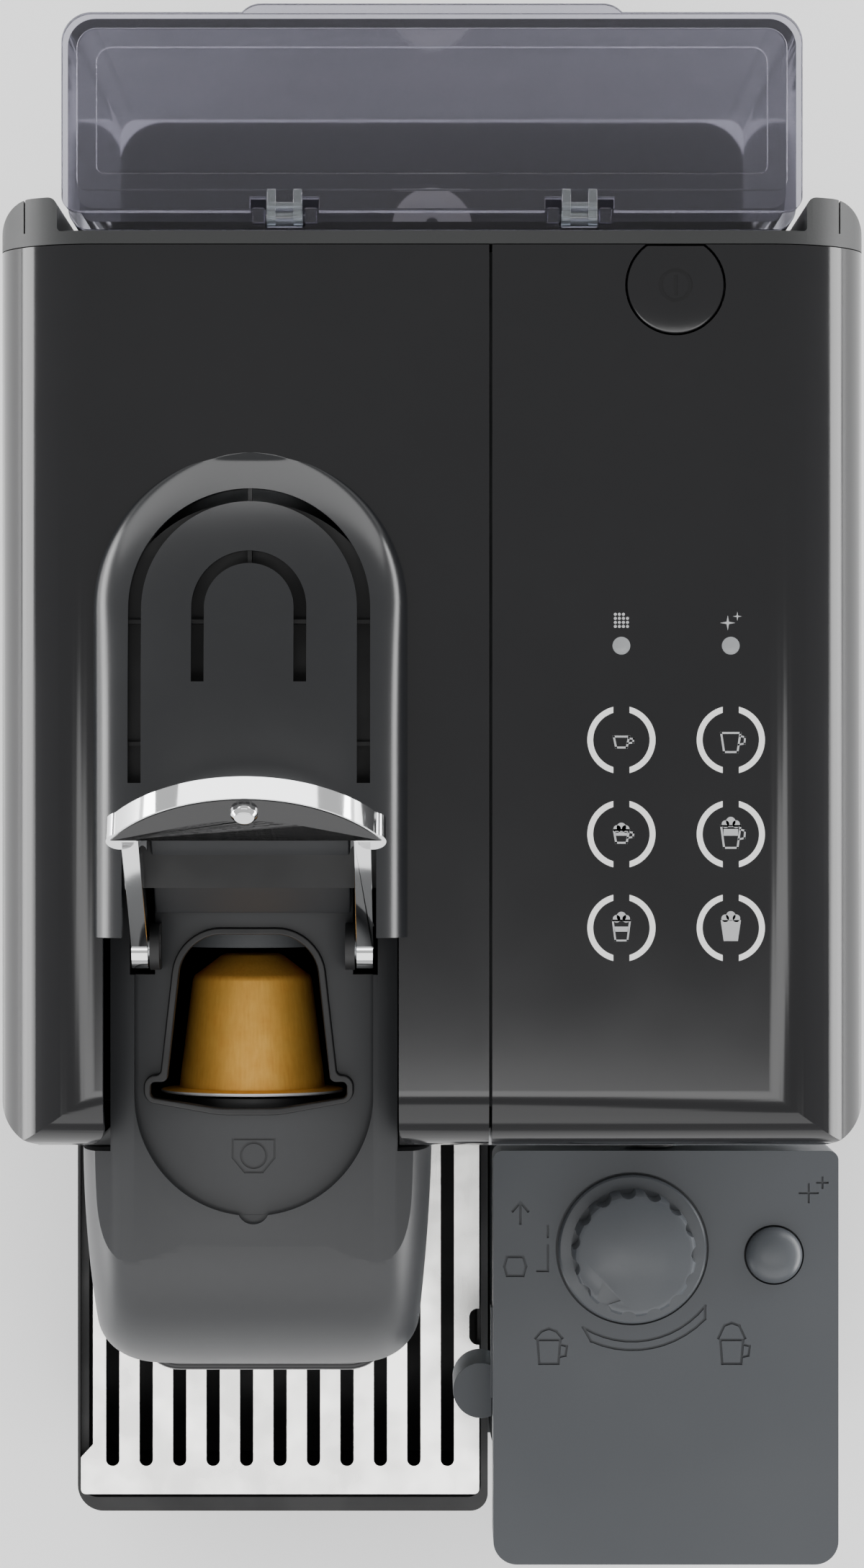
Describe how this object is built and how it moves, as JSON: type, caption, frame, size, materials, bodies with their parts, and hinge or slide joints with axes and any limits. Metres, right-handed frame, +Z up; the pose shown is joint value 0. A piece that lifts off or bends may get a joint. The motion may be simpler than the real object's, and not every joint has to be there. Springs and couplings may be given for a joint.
{
  "type": "pod coffee machine",
  "caption": "Pod coffee machine with a lever brew head, capsule slot, rear water tank, drip tray with cup grid, touch keys and a docked milk jug with froth knob.",
  "frame": {"origin": "centre of the whole machine's footprint on the table", "axes": "+Z up, front towards -Y, control cover and milk jug on +X"},
  "size_m": [0.173, 0.323, 0.2826],
  "materials": {
    "black_gloss": "glossy black moulding",
    "grey_frame": "matte dark grey moulding",
    "trim_grey": "light grey moulding",
    "head_grey": "satin dark grey moulding",
    "hood_grey": "satin dark grey moulding",
    "inner_black": "fine matte black moulding",
    "inner_grey": "plain grey moulding",
    "lever_chrome": "polished chrome",
    "pin_steel": "turned steel",
    "grid_steel": "bright polished steel",
    "boiler_alloy": "cast aluminium",
    "coil_wrap": "red coil wrap",
    "rubber_black": "soft rubber",
    "seal_red": "silicone",
    "hose_clear": "silicone hose",
    "board_green": "circuit board",
    "white_plastic": "plain white moulding",
    "light_guide": "white light guide",
    "lens_grey": "grey lens",
    "tank_smoke": "smoked clear plastic",
    "jug_clear": "clear plastic",
    "jug_grey": "matte blue grey moulding",
    "gold_foil": "gold brushed aluminium",
    "foil_silver": "aluminium foil"
  },
  "bodies": {
    "machine": {"base_plate": "grey_frame", "feet": "rubber_black", "base_screws": "pin_steel", "chassis": "inner_grey", "left_shell": "black_gloss", "right_shell": "black_gloss", "rear_frame": "grey_frame", "front_panel": "trim_grey", "hood": "hood_grey", "brew_head": "head_grey", "coffee_outlet": "inner_black", "slot_lip": "inner_black", "extraction_plate": "inner_black", "lever_bearings": "inner_black", "lever_pins": "pin_steel", "piston_guide": "inner_grey", "boiler": "boiler_alloy", "pump_body": "inner_black", "pump_coil": "coil_wrap", "pump_mounts": "rubber_black", "flow_meter": "white_plastic", "water_hoses": "hose_clear", "steam_valve": "pin_steel", "steam_hose": "hose_clear", "steam_nozzle": "inner_black", "control_board": "board_green", "touch_board": "board_green", "power_switch": "white_plastic", "led_lenses": "lens_grey", "key_rings": "light_guide", "tank_seat": "grey_frame", "seat_seal": "rubber_black", "cable_gland": "rubber_black", "jug_shelf": "grey_frame"},
    "lever": {"brew_lever": "lever_chrome", "lever_nub": "lever_chrome"},
    "piston": {"brew_piston": "inner_grey", "piston_seal": "seal_red"},
    "power_button": {"power_button": "black_gloss"},
    "water_tank": {"water_tank": "tank_smoke", "tank_valve": "white_plastic"},
    "tank_lid": {"tank_lid": "tank_smoke"},
    "valve_poppet": {"valve_poppet": "inner_black"},
    "capsule": {"capsule_shell": "gold_foil", "capsule_foil": "foil_silver"},
    "drip_tray": {"drip_tray": "inner_black", "capsule_bin": "grey_frame"},
    "cup_grid": {"cup_grid": "grid_steel"},
    "milk_jug": {"milk_container": "jug_clear"},
    "jug_lid": {"jug_lid": "jug_grey", "lid_seal": "rubber_black", "suction_tube": "hose_clear"},
    "froth_knob": {"froth_knob": "jug_grey"},
    "clean_button": {"clean_button": "jug_grey"},
    "milk_spout": {"milk_spout": "jug_grey"},
    "left_release": {"left_release": "jug_grey"},
    "right_release": {"right_release": "jug_grey"}
  },
  "joints": [
    {"name": "lever_hinge", "type": "hinge", "parent": "machine", "child": "lever", "pos_m": [-0.0358, -0.026, 0.2339], "axis": [1, 0, 0], "range_deg": [0, 124]},
    {"name": "piston_slide", "type": "slide", "parent": "machine", "child": "piston", "axis": [0, -1, 0], "range_m": [0, 0.0284]},
    {"name": "power_press", "type": "slide", "parent": "machine", "child": "power_button", "axis": [0, 0, -1], "range_m": [0, 0.0015], "stiffness_N_per_m": 400, "springref_m": -0.001},
    {"name": "tank_lift", "type": "slide", "parent": "machine", "child": "water_tank", "axis": [0, 0, 1], "range_m": [0, 0.16]},
    {"name": "tank_lid_hinge", "type": "hinge", "parent": "water_tank", "child": "tank_lid", "pos_m": [0, 0.1194, 0.2372], "axis": [1, 0, 0], "range_deg": [0, 92]},
    {"name": "valve_spring", "type": "slide", "parent": "water_tank", "child": "valve_poppet", "axis": [0, 0, 1], "range_m": [0, 0.002], "stiffness_N_per_m": 150, "springref_m": -0.001},
    {"name": "capsule_lift", "type": "slide", "parent": "machine", "child": "capsule", "axis": [0, 0, 1], "range_m": [0, 0.07]},
    {"name": "tray_pull", "type": "slide", "parent": "machine", "child": "drip_tray", "axis": [0, -1, 0], "range_m": [0, 0.2]},
    {"name": "grid_lift", "type": "slide", "parent": "drip_tray", "child": "cup_grid", "axis": [0, 0, 1], "range_m": [0, 0.045]},
    {"name": "jug_pull", "type": "slide", "parent": "machine", "child": "milk_jug", "axis": [0, -1, 0], "range_m": [0, 0.1]},
    {"name": "jug_lid_lift", "type": "slide", "parent": "milk_jug", "child": "jug_lid", "axis": [0, 0, 1], "range_m": [0, 0.11]},
    {"name": "froth_turn", "type": "hinge", "parent": "jug_lid", "child": "froth_knob", "pos_m": [0.04215, -0.0913, 0.18], "axis": [0, 0, 1], "range_deg": [-60, 60]},
    {"name": "clean_press", "type": "slide", "parent": "jug_lid", "child": "clean_button", "axis": [0, 0, -1], "range_m": [0, 0.0015], "stiffness_N_per_m": 300, "springref_m": -0.001},
    {"name": "spout_drop", "type": "slide", "parent": "jug_lid", "child": "milk_spout", "axis": [0, 0, -1], "range_m": [0, 0.012]},
    {"name": "left_release_press", "type": "slide", "parent": "jug_lid", "child": "left_release", "axis": [1, 0, 0], "range_m": [0, 0.0015], "stiffness_N_per_m": 300, "springref_m": -0.001},
    {"name": "right_release_press", "type": "slide", "parent": "jug_lid", "child": "right_release", "axis": [-1, 0, 0], "range_m": [0, 0.0015], "stiffness_N_per_m": 300, "springref_m": -0.001}
  ],
  "couplings": [
    {"joint": "piston_slide", "follows": "lever_hinge", "m_per_rad": 0.01303}
  ]
}
